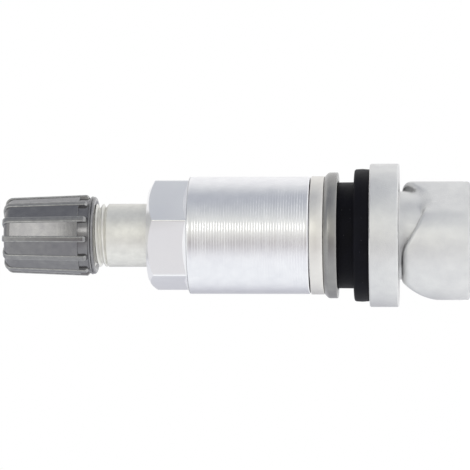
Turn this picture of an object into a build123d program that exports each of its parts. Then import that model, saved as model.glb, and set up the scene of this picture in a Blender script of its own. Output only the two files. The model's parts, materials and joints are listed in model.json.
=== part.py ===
from build123d import *
from math import cos, pi, radians, sin, sqrt
import os

# Clamp-in valve stem of a tyre pressure sensor, in millimetres.
# The stem stands on the flat end of its cast boss, its axis on Z, the valve mouth and the cap on top.

# Running clearances
thread_clearance = 0.05
slide_clearance = 0.1
shank_clearance = 0.25
seal_clearance = 0.1
joint_gap = 0.12

# Cast boss that carries the sensor housing: round, with one flat side and a rounded outline
boss_height = 8.2
boss_radius = 7.19
boss_offset = -0.63
boss_flat_angle = 58.0
boss_flat_step = 0.21
boss_flat_lower_round = 4.0
boss_flat_upper_round = 1.6
boss_outline_start = 2.7
boss_outline_round = 7.4
boss_outline_rise = 0.23
boss_outline_overhang = 0.12
boss_shoulder = 1.1
boss_edge_break = 0.3

# Saddle across the boss where the neck runs in
saddle_radius = 6.3
saddle_floor = 5.55
saddle_angle = -40.0
saddle_offset = -0.8
saddle_rim_round = 0.6

# Neck and flange
neck_radius = 5.35
neck_gap = 0.33
flange_radius = 8.68
flange_thickness = 3.54
flange_edge_break = 0.22

# Threaded shank of the stem
clamp_thread_radius = 5.0
clamp_thread_cover = 2.9
shank_taper_length = 0.8
valve_thread_radius = 3.85
mouth_chamfer = 0.45

# Threaded hole for the sensor's screw, and the air passage
sensor_screw_hole_radius = 1.65
sensor_screw_hole_depth = 7.5
sensor_screw_hole_chamfer = 0.4
air_passage_radius = 1.2

# Rubber grommet
grommet_seat_radius = 8.05
grommet_seat_thickness = 1.86
grommet_nose_radius = 6.42
grommet_nose_length = 1.97
grommet_edge_radius = 0.35
grommet_seat_edge = 0.2

# Dished steel washer
washer_thickness = 1.65
washer_rim_wall = 1.01
washer_rim_height = 1.15
washer_crown_setback = 0.08
washer_dish_depth = 0.3
washer_dish_clearance = 0.2
washer_edge_break = 0.12

# Captive slip ring
ring_thickness = 1.61
ring_overhang = 0.05
ring_lip_recess = 0.85
ring_edge_break = 0.1

# Clamp nut: sleeve, cone and hexagon
sleeve_length = 14.59
sleeve_radius = 7.13
sleeve_cone_length = 0.55
hex_length = 4.98
hex_sides = 6
hex_across_flats = 12.0
hex_turn = -74.8
hex_crown_radius = 5.55
hex_chamfer_slope = 0.62
nut_spigot_wall = 0.75
nut_lip_width = 0.45
nut_lip_height = 0.5
nut_edge_break = 0.15
nut_travel = 6.0

# Ribbed cap
cap_gap = 0.5
cap_length = 11.15
cap_crown = 1.2
cap_body_setback = 0.18
cap_land_base_radius = 4.74
cap_land_top_radius = 4.38
cap_land_step = 1.9
cap_collar_radius = 4.52
cap_rim_radius = 4.76
cap_rim_height = 0.62
cap_rim_round = 0.3
cap_mouth_chamfer = 0.35
cap_rib_count = 12
cap_rib_width = 0.74
cap_rib_depth = 1.0
cap_rib_base_radius = 4.94
cap_rib_top_radius = 4.55
cap_rib_start = 0.78
cap_rib_tip = 0.35
cap_rib_turn = -95.7
cap_crown_round = 0.85
cap_seal_thickness = 1.0

# Valve core, measured down from the mouth
core_thread_radius = 2.6
core_chamber_depth = 7.2
core_seat_top_radius = 2.32
core_seat_bottom_radius = 1.98
core_seat_start = 8.2
core_seat_length = 2.4
plug_top_depth = 0.9
plug_head_height = 1.9
plug_head_radius = 2.1
plug_flat_width = 2.0
plug_thread_length = 3.6
plug_bore_radius = 1.15
plug_neck_radius = 1.5
plug_neck_length = 1.3
barrel_socket_depth = 1.1
barrel_socket_radius = 2.15
barrel_radius = 1.7
barrel_bore_radius = 1.3
barrel_length = 8.6
barrel_floor = 0.9
barrel_port_radius = 0.85
barrel_port_lip = 0.3
gasket_length = 2.0
pin_radius = 0.45
pin_depth = 0.4
pin_head_radius = 0.6
pin_head_height = 0.6
pin_collar_radius = 1.0
pin_collar_height = 0.4
pin_collar_gap = 0.3
pin_stroke = 1.2
plunger_radius = 1.5
plunger_wall = 0.25
plunger_floor = 0.5
plunger_seal_thickness = 0.6
plunger_clearance = 2.0
spring_wire_radius = 0.13
spring_radius = 0.88
spring_turns = 6.0
spring_clearance = 0.02

# Heights up the axis
boss_outline_top = boss_height + boss_outline_rise
boss_outline_climb = boss_outline_top - boss_outline_start
boss_outline_reach = boss_outline_round - sqrt(boss_outline_round**2 - boss_outline_climb**2)
neck_root = saddle_floor / 2
flange_base = boss_height + neck_gap
flange_top = flange_base + flange_thickness
grommet_step = flange_top + grommet_seat_thickness
washer_base = grommet_step + grommet_nose_length
grommet_top = washer_base + washer_dish_depth
washer_top = washer_base + washer_thickness
ring_top = washer_top + ring_thickness
sleeve_base = ring_top + joint_gap
hex_base = sleeve_base + sleeve_length
nut_top = hex_base + hex_length
clamp_thread_top = hex_base - clamp_thread_cover
nut_step = hex_base - clamp_thread_cover / 2
cap_base = nut_top + nut_travel + cap_gap
cap_top = cap_base + cap_length
cap_body_top = cap_top - cap_body_setback
cap_ceiling = cap_body_top - cap_crown
mouth = cap_ceiling - cap_seal_thickness

# Valve core heights, down from the mouth; the bore goes on past the plunger when the pin is pressed
plug_top = mouth - plug_top_depth
plug_shoulder = plug_top - plug_head_height
plug_base = plug_shoulder - plug_thread_length
plug_neck_base = plug_base - plug_neck_length
barrel_top = plug_neck_base + barrel_socket_depth
barrel_step = barrel_top - barrel_socket_depth
barrel_base = barrel_top - barrel_length
gasket_top = mouth - core_seat_start
collar_top = plug_neck_base - pin_collar_gap
collar_base = collar_top - pin_collar_height
spring_base = barrel_base + barrel_floor
plunger_seal_base = barrel_base - plunger_seal_thickness
plunger_base = plunger_seal_base - plunger_floor
core_bore_base = plunger_base - pin_stroke - plunger_clearance

# Radii that mate
boss_flat_distance = neck_radius + boss_flat_step
ring_radius = sleeve_radius + ring_overhang
washer_crown_radius = ring_radius - washer_crown_setback
washer_dish_radius = grommet_nose_radius + washer_dish_clearance
washer_rim_radius = washer_dish_radius + washer_rim_wall
washer_bore = clamp_thread_radius + slide_clearance
grommet_bore = clamp_thread_radius + thread_clearance
nut_thread_bore = clamp_thread_radius + thread_clearance
nut_shank_bore = valve_thread_radius + shank_clearance
nut_spigot_radius = nut_thread_bore + nut_spigot_wall
nut_lip_radius = nut_spigot_radius + nut_lip_width
cap_bore = valve_thread_radius + thread_clearance
core_thread_bore = core_thread_radius + thread_clearance


def ring_section(*points, rounds=()):
    """Return the face of a closed half section.

    Args:
        points: the corners as (radius, height), in order.
        rounds: pairs of a corner's number among the points and the radius that rounds it.

    Returns:
        The face on the XZ plane, ready to be revolved.
    """
    with BuildSketch(Plane.XZ) as section:
        with BuildLine():
            Polyline(*points, close=True)
        make_face()
        for number, radius in rounds:
            fillet(section.vertices().sort_by_distance(points[number])[0], radius)
    return section.sketch


# Valve stem: boss, neck, flange, shank and mouth in one casting
outline_left = boss_offset - boss_radius - boss_outline_overhang
flat_x = sin(radians(boss_flat_angle))
flat_y = -cos(radians(boss_flat_angle))
flat_foot = (boss_flat_distance * flat_x, boss_flat_distance * flat_y)
flat_normal = Axis((0, 0, 0), (flat_x, flat_y, 0))
saddle_across = Vector(-sin(radians(saddle_angle)), cos(radians(saddle_angle)), 0)
saddle_plane = Plane(
    origin=saddle_across * saddle_offset + Vector(0, 0, saddle_floor + saddle_radius),
    x_dir=saddle_across,
    z_dir=(cos(radians(saddle_angle)), sin(radians(saddle_angle)), 0),
)
with BuildPart() as valve_stem:
    with BuildSketch(Plane.XY) as boss_section:
        with Locations(Location((boss_offset, 0), boss_flat_angle - 90)):
            Circle(boss_radius)
        with Locations(Location(flat_foot, boss_flat_angle - 90)):
            Rectangle(boss_radius, boss_radius * 4, align=(Align.MIN, Align.CENTER), mode=Mode.SUBTRACT)
        fillet(boss_section.vertices().sort_by(flat_normal)[-2:].sort_by(Axis.Y)[0], boss_flat_lower_round)
        fillet(boss_section.vertices().sort_by(flat_normal)[-2:].sort_by(Axis.Y)[-1], boss_flat_upper_round)
    extrude(amount=boss_height)
    with BuildSketch(Plane.XZ):
        with BuildLine():
            Polyline(
                (outline_left, boss_outline_start),
                (outline_left, 0),
                (boss_radius, 0),
                (boss_radius, boss_outline_top),
                (outline_left + boss_outline_reach, boss_outline_top),
            )
            RadiusArc(
                (outline_left, boss_outline_start),
                (outline_left + boss_outline_reach, boss_outline_top),
                boss_outline_round,
            )
        make_face()
    extrude(amount=boss_radius * 2, both=True, mode=Mode.INTERSECT)
    upper_edges = valve_stem.edges().filter_by(lambda edge: edge.bounding_box().min.Z > boss_edge_break)
    fillet(upper_edges, boss_shoulder)
    fillet(valve_stem.edges().group_by(Axis.Z)[0], boss_edge_break)
    with BuildSketch(saddle_plane):
        Circle(saddle_radius)
    extrude(amount=boss_radius * 2, both=True, mode=Mode.SUBTRACT)
    fillet(valve_stem.edges(Select.NEW), saddle_rim_round)
    revolve(
        ring_section(
            (0, neck_root),
            (neck_radius, neck_root),
            (neck_radius, flange_base),
            (flange_radius, flange_base),
            (flange_radius, flange_top),
            (clamp_thread_radius, flange_top),
            (clamp_thread_radius, clamp_thread_top),
            (valve_thread_radius, clamp_thread_top + shank_taper_length),
            (valve_thread_radius, mouth - mouth_chamfer),
            (valve_thread_radius - mouth_chamfer, mouth),
            (0, mouth),
            rounds=((3, flange_edge_break), (4, flange_edge_break)),
        ),
        axis=Axis.Z,
    )
    revolve(
        ring_section(
            (0, 0),
            (sensor_screw_hole_radius + sensor_screw_hole_chamfer, 0),
            (sensor_screw_hole_radius, sensor_screw_hole_chamfer),
            (sensor_screw_hole_radius, sensor_screw_hole_depth),
            (air_passage_radius, sensor_screw_hole_depth + sensor_screw_hole_chamfer),
            (air_passage_radius, core_bore_base),
            (core_seat_bottom_radius, core_bore_base),
            (core_seat_bottom_radius, mouth - core_seat_start - core_seat_length),
            (core_seat_top_radius, mouth - core_seat_start),
            (core_seat_top_radius, mouth - core_chamber_depth),
            (core_thread_bore, mouth - core_chamber_depth),
            (core_thread_bore, mouth),
            (0, mouth),
        ),
        axis=Axis.Z,
        mode=Mode.SUBTRACT,
    )

# Rubber grommet: a wide seat on the flange and a nose into the wheel's hole
with BuildPart() as grommet:
    revolve(
        ring_section(
            (grommet_bore, flange_top),
            (grommet_seat_radius, flange_top),
            (grommet_seat_radius, grommet_step),
            (grommet_nose_radius, grommet_step),
            (grommet_nose_radius, grommet_top),
            (grommet_bore, grommet_top),
            rounds=((1, grommet_seat_edge), (2, grommet_seat_edge), (4, grommet_edge_radius)),
        ),
        axis=Axis.Z,
    )

# Dished washer: its rim is turned down round the grommet's nose
with BuildPart() as clamp_washer:
    revolve(
        ring_section(
            (washer_bore, grommet_top),
            (washer_dish_radius, grommet_top),
            (washer_dish_radius, washer_base),
            (washer_rim_radius, washer_base),
            (washer_rim_radius, washer_base + washer_rim_height),
            (washer_crown_radius, washer_top),
            (washer_bore, washer_top),
            rounds=((3, washer_edge_break), (5, washer_edge_break)),
        ),
        axis=Axis.Z,
    )

# Slip ring: held on the nut's spigot by the spigot's lip, so it rises with the nut and doesn't turn
ring_bore = nut_spigot_radius + slide_clearance
ring_recess_radius = nut_lip_radius + slide_clearance
with BuildPart() as slip_ring:
    revolve(
        ring_section(
            (ring_recess_radius, washer_top),
            (ring_radius, washer_top),
            (ring_radius, ring_top),
            (ring_bore, ring_top),
            (ring_bore, washer_top + ring_lip_recess),
            (ring_recess_radius, washer_top + ring_lip_recess),
            rounds=((1, ring_edge_break), (2, ring_edge_break)),
        ),
        axis=Axis.Z,
    )

# Clamp nut: hexagon, cone, sleeve and the spigot with its lip
hex_apothem = hex_across_flats / 2
hex_corner_radius = hex_apothem / cos(pi / hex_sides)
hex_crown_drop = (hex_corner_radius - hex_crown_radius) * hex_chamfer_slope
lip_top = washer_top + ring_lip_recess - joint_gap
with BuildPart() as clamp_nut:
    with BuildSketch(Plane.XY.offset(hex_base)):
        RegularPolygon(hex_apothem, hex_sides, major_radius=False, rotation=hex_turn)
    extrude(amount=hex_length)
    revolve(
        ring_section(
            (0, hex_base),
            (hex_corner_radius, hex_base),
            (hex_corner_radius, nut_top - hex_crown_drop),
            (hex_crown_radius, nut_top),
            (0, nut_top),
        ),
        axis=Axis.Z,
        mode=Mode.INTERSECT,
    )
    revolve(
        ring_section(
            (0, lip_top - nut_lip_height),
            (nut_lip_radius, lip_top - nut_lip_height),
            (nut_lip_radius, lip_top),
            (nut_spigot_radius, lip_top),
            (nut_spigot_radius, sleeve_base),
            (sleeve_radius, sleeve_base),
            (sleeve_radius, hex_base),
            (hex_apothem, hex_base + sleeve_cone_length),
            (0, hex_base + sleeve_cone_length),
            rounds=((5, nut_edge_break), (6, nut_edge_break)),
        ),
        axis=Axis.Z,
    )
    revolve(
        ring_section(
            (0, lip_top - nut_lip_height),
            (nut_thread_bore, lip_top - nut_lip_height),
            (nut_thread_bore, nut_step),
            (nut_shank_bore, nut_step + shank_taper_length),
            (nut_shank_bore, nut_top),
            (0, nut_top),
        ),
        axis=Axis.Z,
        mode=Mode.SUBTRACT,
    )

# Cap: ribs cut to a tapered envelope, then the body between them, then the bore
cap_rib_inner = cap_rib_base_radius - cap_rib_depth
with BuildPart() as cap:
    with BuildSketch(Plane.XY.offset(cap_base + cap_rib_start)):
        with PolarLocations(cap_rib_inner, cap_rib_count, start_angle=cap_rib_turn):
            Rectangle(cap_rib_depth * 2, cap_rib_width)
    extrude(amount=cap_length - cap_rib_start)
    revolve(
        ring_section(
            (0, cap_base),
            (cap_rib_base_radius - cap_rib_tip, cap_base),
            (cap_rib_base_radius - cap_rib_tip, cap_base + cap_rib_start),
            (cap_rib_base_radius, cap_base + cap_rib_start + cap_rib_tip),
            (cap_rib_top_radius, cap_top),
            (0, cap_top),
            rounds=((4, cap_crown_round),),
        ),
        axis=Axis.Z,
        mode=Mode.INTERSECT,
    )
    revolve(
        ring_section(
            (0, cap_base),
            (cap_rim_radius, cap_base),
            (cap_rim_radius, cap_base + cap_rim_height),
            (cap_collar_radius, cap_base + cap_rim_height),
            (cap_collar_radius, cap_base + cap_land_step),
            (cap_land_base_radius, cap_base + cap_land_step),
            (cap_land_top_radius, cap_body_top),
            (0, cap_body_top),
            rounds=((1, cap_rim_round), (6, cap_crown_round)),
        ),
        axis=Axis.Z,
    )
    revolve(
        ring_section(
            (0, cap_base),
            (cap_bore + cap_mouth_chamfer, cap_base),
            (cap_bore, cap_base + cap_mouth_chamfer),
            (cap_bore, cap_ceiling),
            (0, cap_ceiling),
        ),
        axis=Axis.Z,
        mode=Mode.SUBTRACT,
    )

# Seal disc in the cap's crown, pressed on the valve mouth
with BuildPart() as cap_seal:
    with BuildSketch(Plane.XY.offset(mouth)):
        Circle(cap_bore - seal_clearance)
    extrude(amount=cap_seal_thickness)

# Core plug: a threaded plug whose head has two flats, on a short neck
with BuildPart() as core_plug:
    with BuildSketch(Plane.XY.offset(plug_shoulder)):
        Circle(plug_head_radius)
        Rectangle(plug_head_radius * 2, plug_flat_width, mode=Mode.INTERSECT)
    extrude(amount=plug_head_height)
    with BuildSketch(Plane.XY.offset(plug_base)):
        Circle(core_thread_radius)
    extrude(amount=plug_thread_length)
    with BuildSketch(Plane.XY.offset(plug_neck_base)):
        Circle(plug_neck_radius)
    extrude(amount=plug_neck_length)
    with BuildSketch(Plane.XY.offset(plug_neck_base)):
        Circle(plug_bore_radius)
    extrude(amount=plug_top - plug_neck_base, mode=Mode.SUBTRACT)

# Core barrel: socket over the plug's neck, seat for the gasket, port with a sealing lip at the inner end
with BuildPart() as core_barrel:
    revolve(
        ring_section(
            (plug_neck_radius, barrel_top),
            (barrel_socket_radius, barrel_top),
            (barrel_socket_radius, gasket_top),
            (barrel_radius, gasket_top),
            (barrel_radius, barrel_base + barrel_port_lip),
            (barrel_port_radius + barrel_port_lip, barrel_base),
            (barrel_port_radius, barrel_base),
            (barrel_port_radius, spring_base),
            (barrel_bore_radius, spring_base),
            (barrel_bore_radius, barrel_step),
            (plug_neck_radius, barrel_step),
        ),
        axis=Axis.Z,
    )

# Core gasket: a cone that seals on the stem's seat
gasket_taper = (core_seat_top_radius - core_seat_bottom_radius) / core_seat_length
with BuildPart() as core_gasket:
    revolve(
        ring_section(
            (barrel_radius, gasket_top),
            (core_seat_top_radius, gasket_top),
            (core_seat_top_radius - gasket_taper * gasket_length, gasket_top - gasket_length),
            (barrel_radius, gasket_top - gasket_length),
        ),
        axis=Axis.Z,
    )

# Core pin: head, shaft and the collar that the spring pushes on
with BuildPart() as core_pin:
    revolve(
        ring_section(
            (0, plunger_seal_base),
            (pin_radius, plunger_seal_base),
            (pin_radius, collar_base),
            (pin_collar_radius, collar_base),
            (pin_collar_radius, collar_top),
            (pin_radius, collar_top),
            (pin_radius, mouth - pin_depth - pin_head_height),
            (pin_head_radius, mouth - pin_depth - pin_head_height / 2),
            (pin_head_radius, mouth - pin_depth),
            (0, mouth - pin_depth),
        ),
        axis=Axis.Z,
    )

# Plunger cup and its seal, on the pin's inner end
with BuildPart() as core_plunger:
    revolve(
        ring_section(
            (0, plunger_base),
            (plunger_radius, plunger_base),
            (plunger_radius, barrel_base - joint_gap),
            (plunger_radius - plunger_wall, barrel_base - joint_gap),
            (plunger_radius - plunger_wall, plunger_seal_base),
            (0, plunger_seal_base),
        ),
        axis=Axis.Z,
    )

with BuildPart() as core_plunger_seal:
    revolve(
        ring_section(
            (pin_radius, plunger_seal_base),
            (plunger_radius - plunger_wall, plunger_seal_base),
            (plunger_radius - plunger_wall, barrel_base),
            (pin_radius, barrel_base),
        ),
        axis=Axis.Z,
    )

# Core spring: one wire from the barrel's floor to the pin's collar
spring_start = spring_base + spring_wire_radius + spring_clearance
spring_height = collar_base - spring_wire_radius - spring_clearance - spring_start
with BuildPart() as core_spring:
    with BuildLine():
        spring_path = Helix(
            spring_height / spring_turns,
            spring_height,
            spring_radius,
            center=(0, 0, spring_start),
        )
    with BuildSketch(Plane(origin=spring_path @ 0, z_dir=spring_path % 0)):
        Circle(spring_wire_radius)
    sweep(path=spring_path)

# Names and files
pieces = {
    "valve_stem": valve_stem,
    "grommet": grommet,
    "clamp_washer": clamp_washer,
    "slip_ring": slip_ring,
    "clamp_nut": clamp_nut,
    "cap": cap,
    "cap_seal": cap_seal,
    "core_plug": core_plug,
    "core_barrel": core_barrel,
    "core_gasket": core_gasket,
    "core_pin": core_pin,
    "core_plunger": core_plunger,
    "core_plunger_seal": core_plunger_seal,
    "core_spring": core_spring,
}
os.makedirs("parts", exist_ok=True)
for name, piece in pieces.items():
    piece.part.label = name
    export_step(piece.part, f"parts/{name}.step")
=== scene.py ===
"""Looks of a clamp-in valve stem: cast boss and flange, rubber grommet, dished washer, clamp nut and cap.

The stem stands on the flat end of its boss with its axis on Z. Sizes are in millimetres while a piece is
modelled, and each finished mesh is brought to metres.
"""

import json
import logging
import math
import random
from dataclasses import dataclass, field
from enum import Enum

import bmesh
import bpy
from mathutils import Matrix, Vector
from mathutils.kdtree import KDTree

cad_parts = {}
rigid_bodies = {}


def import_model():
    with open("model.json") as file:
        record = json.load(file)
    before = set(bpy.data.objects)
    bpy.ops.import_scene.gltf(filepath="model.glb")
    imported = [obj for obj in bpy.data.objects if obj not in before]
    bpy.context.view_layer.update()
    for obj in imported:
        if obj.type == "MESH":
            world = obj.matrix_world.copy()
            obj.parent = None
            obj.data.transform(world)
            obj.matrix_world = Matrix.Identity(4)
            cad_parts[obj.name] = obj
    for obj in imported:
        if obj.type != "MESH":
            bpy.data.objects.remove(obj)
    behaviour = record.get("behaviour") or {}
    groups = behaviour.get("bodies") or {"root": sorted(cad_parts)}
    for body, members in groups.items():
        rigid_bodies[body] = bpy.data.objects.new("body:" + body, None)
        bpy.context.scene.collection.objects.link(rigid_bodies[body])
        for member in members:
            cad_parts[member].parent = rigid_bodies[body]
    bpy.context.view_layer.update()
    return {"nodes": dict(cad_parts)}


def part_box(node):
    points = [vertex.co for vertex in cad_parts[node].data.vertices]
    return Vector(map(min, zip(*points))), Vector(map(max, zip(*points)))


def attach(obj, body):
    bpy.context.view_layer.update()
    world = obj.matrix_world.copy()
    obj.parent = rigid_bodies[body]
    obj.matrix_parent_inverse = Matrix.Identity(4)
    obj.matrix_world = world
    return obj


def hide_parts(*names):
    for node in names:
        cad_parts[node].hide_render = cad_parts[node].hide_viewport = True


MM = 0.001
MICROMETRE = MM * MM
FULL_TURN = 2 * math.pi
# In millimetres: how far a height is widened to take in what lies on it, and how close two points are one.
SLACK = 0.01
MERGE = 1e-4
MERGE_CUT = 1e-5
IMAGE_SIDE = 470
WHITE = (1.0, 1.0, 1.0, 1.0)
LOG = logging.getLogger("valve_stem")


class Body(Enum):
    """The bodies that new pieces ride on."""

    STEM = "stem"
    RING = "nut_ring"
    NUT = "nut"
    CAP = "screw_cap"


class Slot(Enum):
    """The record's material slots."""

    CASTING = "cast_aluminium"
    TURNED = "turned_aluminium"
    SATIN = "satin_aluminium"
    STEEL = "washer_steel"
    RUBBER = "seal_rubber"
    PLASTIC = "cap_plastic"
    BRASS = "core_brass"
    SPRING = "spring_steel"


class Lay(Enum):
    """Which way a tool's marks run on a turned surface."""

    ROUND = "round"
    NONE = "none"


# Mesh work


def section_wire(corners: list[tuple[float, float]], closed: bool) -> bmesh.types.BMesh:
    """Draw a half section on the XZ plane.

    Args:
        corners: the corners as (radius, height), in millimetres.
        closed: whether the last corner joins the first.

    Returns:
        A new mesh that holds the corners and the edges between them.
    """
    wire = bmesh.new()
    points = [wire.verts.new((radius, 0.0, height)) for radius, height in corners]
    followers = points[1:] + (points[:1] if closed else [])
    for start, end in zip(points, followers):
        wire.edges.new((start, end))
    wire.verts.ensure_lookup_table()
    return wire


def bevel(
    mesh: bmesh.types.BMesh,
    geom: list,
    width: float,
    segments: int,
    affect: str = "EDGES",
    clamp: bool = False,
) -> list[bmesh.types.BMFace]:
    """Round edges or corners.

    Args:
        mesh: the mesh to change.
        geom: the edges or the corners.
        width: the width of the round, in millimetres.
        segments: the pieces of each round.
        affect: EDGES or VERTICES.
        clamp: whether the width is kept from running into its neighbours.

    Returns:
        The new faces.
    """
    made = bmesh.ops.bevel(
        mesh,
        geom=geom,
        offset=width,
        affect=affect,
        segments=segments,
        profile=0.5,
        material=-1,
        clamp_overlap=clamp,
    )
    return made["faces"]


def spin(
    mesh: bmesh.types.BMesh,
    angle: float,
    steps: int,
    rise: float = 0.0,
    merge: bool = False,
    copies: bool = False,
) -> None:
    """Spin all that a mesh holds about the stem's axis.

    Args:
        mesh: the mesh to change.
        angle: the angle, in radians.
        steps: the pieces of that angle.
        rise: how far each step rises, in millimetres.
        merge: whether the last step is joined to the first.
        copies: whether the steps are loose copies.
    """
    bmesh.ops.spin(
        mesh,
        geom=mesh.verts[:] + mesh.edges[:] + mesh.faces[:],
        cent=(0, 0, 0),
        axis=(0, 0, 1),
        dvec=(0, 0, rise),
        angle=angle,
        steps=steps,
        use_merge=merge,
        use_normal_flip=False,
        use_duplicate=copies,
    )


def round_corners(wire: bmesh.types.BMesh, rounds: dict[int, float], segments: int) -> None:
    """Round some corners of a wire.

    Args:
        wire: the mesh that holds the wire.
        rounds: the radius of each rounded corner, by the corner's number.
        segments: the pieces of each round.
    """
    corners = {number: wire.verts[number] for number in rounds}
    for number, corner in corners.items():
        bevel(wire, [corner], rounds[number], segments, affect="VERTICES")


def add_mesh(target: bmesh.types.BMesh, part: bmesh.types.BMesh) -> None:
    """Add one mesh to another, and free the first.

    Args:
        target: the mesh that grows.
        part: the mesh that is added and freed.
    """
    carrier = bpy.data.meshes.new("carrier")
    part.to_mesh(carrier)
    part.free()
    target.from_mesh(carrier)
    bpy.data.meshes.remove(carrier)


def mark_sharp(mesh: bmesh.types.BMesh, angle: float) -> None:
    """Smooth every face, and keep the edges that turn by more than an angle sharp.

    Args:
        mesh: the mesh to shade.
        angle: the angle in degrees.
    """
    limit = math.radians(angle)
    for face in mesh.faces:
        face.smooth = True
    for edge in mesh.edges:
        edge.smooth = len(edge.link_faces) != 2 or edge.calc_face_angle(0.0) < limit


@dataclass
class TurnedForm:
    """A half section spun about the stem's axis.

    Attributes:
        corners: the section's corners as (radius, height), in millimetres.
        rounds: the radius of each rounded corner, by its number.
        closed: whether the section is a closed ring; an open one starts and ends on the axis.
        steps: the pieces of a full turn.
        segments: the pieces of each round.
    """

    corners: list[tuple[float, float]]
    rounds: dict[int, float] = field(default_factory=dict)
    closed: bool = True
    steps: int = 160
    segments: int = 4

    def build(self) -> bmesh.types.BMesh:
        """Spin the section into a closed solid."""
        form = section_wire(self.corners, self.closed)
        round_corners(form, self.rounds, self.segments)
        spin(form, FULL_TURN, self.steps, merge=True)
        bmesh.ops.remove_doubles(form, verts=form.verts, dist=MERGE_CUT)
        bmesh.ops.recalc_face_normals(form, faces=form.faces)
        return form


@dataclass
class ScrewThread:
    """A right-hand screw's ridge, wound on a core.

    Attributes:
        crest: the radius of the ridge's crest, in millimetres.
        root: the radius of the core between the ridges.
        pitch: the rise of each turn.
        base: the height at which the ridge starts.
        top: the height at which it ends.
        crest_share: the share of the pitch that the flat crest takes.
        run_in: how steeply the ridge grows out of the core at its base.
        run_out: how steeply it falls at its top.
        sink: how far the ridge's foot lies inside the core.
        crest_edge: the round of the crest's edges, as a share of half the crest.
        steps: the pieces of each turn.
    """

    crest: float
    root: float
    pitch: float
    base: float
    top: float
    crest_share: float = 0.16
    run_in: float = 1.2
    run_out: float = 1.0
    sink: float = 0.08
    crest_edge: float = 0.8
    steps: int = 72

    def build(self) -> bmesh.types.BMesh:
        """Wind the ridge's section up the axis and blend both of its ends into the core."""
        inner = self.root - self.sink
        half_foot = self.pitch / 2
        half_crest = self.pitch * self.crest_share / 2
        turns = (self.top - self.base) / self.pitch - 1.0
        steps = round(turns * self.steps)
        start = self.base + half_foot
        ridge = section_wire(
            [
                (inner, start - half_foot),
                (self.crest, start - half_crest),
                (self.crest, start + half_crest),
                (inner, start + half_foot),
            ],
            closed=True,
        )
        round_corners(ridge, dict.fromkeys((1, 2), half_crest * self.crest_edge), segments=2)
        spin(ridge, FULL_TURN * turns, steps, rise=self.pitch * turns / steps)
        open_edges = [edge for edge in ridge.edges if edge.is_boundary]
        bmesh.ops.holes_fill(ridge, edges=open_edges, sides=0)
        for vert in ridge.verts:
            reach = math.hypot(vert.co.x, vert.co.y)
            allowed = min(
                inner + max(vert.co.z - self.base, 0.0) * self.run_in,
                inner + max(self.top - vert.co.z, 0.0) * self.run_out,
            )
            limit = max(allowed, inner)
            if reach > limit:
                vert.co.x *= limit / reach
                vert.co.y *= limit / reach
        bmesh.ops.recalc_face_normals(ridge, faces=ridge.faces)
        return ridge


def solid_copy(node: bpy.types.Object) -> bmesh.types.BMesh:
    """Copy a node's mesh, merged and in millimetres.

    Args:
        node: the node to copy.

    Returns:
        A new mesh.
    """
    copy = bmesh.new()
    copy.from_mesh(node.data)
    bmesh.ops.scale(copy, vec=(1 / MM, 1 / MM, 1 / MM), verts=copy.verts)
    bmesh.ops.remove_doubles(copy, verts=copy.verts, dist=MERGE)
    return copy


def cut_at(
    mesh: bmesh.types.BMesh, height: float, drop_below: bool = False, drop_above: bool = False
) -> None:
    """Cut a mesh at a height.

    Args:
        mesh: the mesh to cut.
        height: the height of the cut, in millimetres.
        drop_below: whether what lies below the cut is taken away.
        drop_above: whether what lies above it is taken away.
    """
    bmesh.ops.bisect_plane(
        mesh,
        geom=mesh.verts[:] + mesh.edges[:] + mesh.faces[:],
        dist=MERGE_CUT,
        plane_co=(0, 0, height),
        plane_no=(0, 0, 1),
        use_snap_center=False,
        clear_outer=drop_above,
        clear_inner=drop_below,
    )


def draw_in(mesh: bmesh.types.BMesh, low: float, high: float, outside: float, radius: float) -> None:
    """Bring the outer wall between two heights in to a radius.

    Args:
        mesh: the mesh to change.
        low: the lower height, in millimetres.
        high: the upper height.
        outside: only what stands further out than this is moved.
        radius: the wall's new radius.
    """
    for vert in mesh.verts:
        reach = math.hypot(vert.co.x, vert.co.y)
        if low <= vert.co.z <= high and reach > outside:
            vert.co.x *= radius / reach
            vert.co.y *= radius / reach


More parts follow.
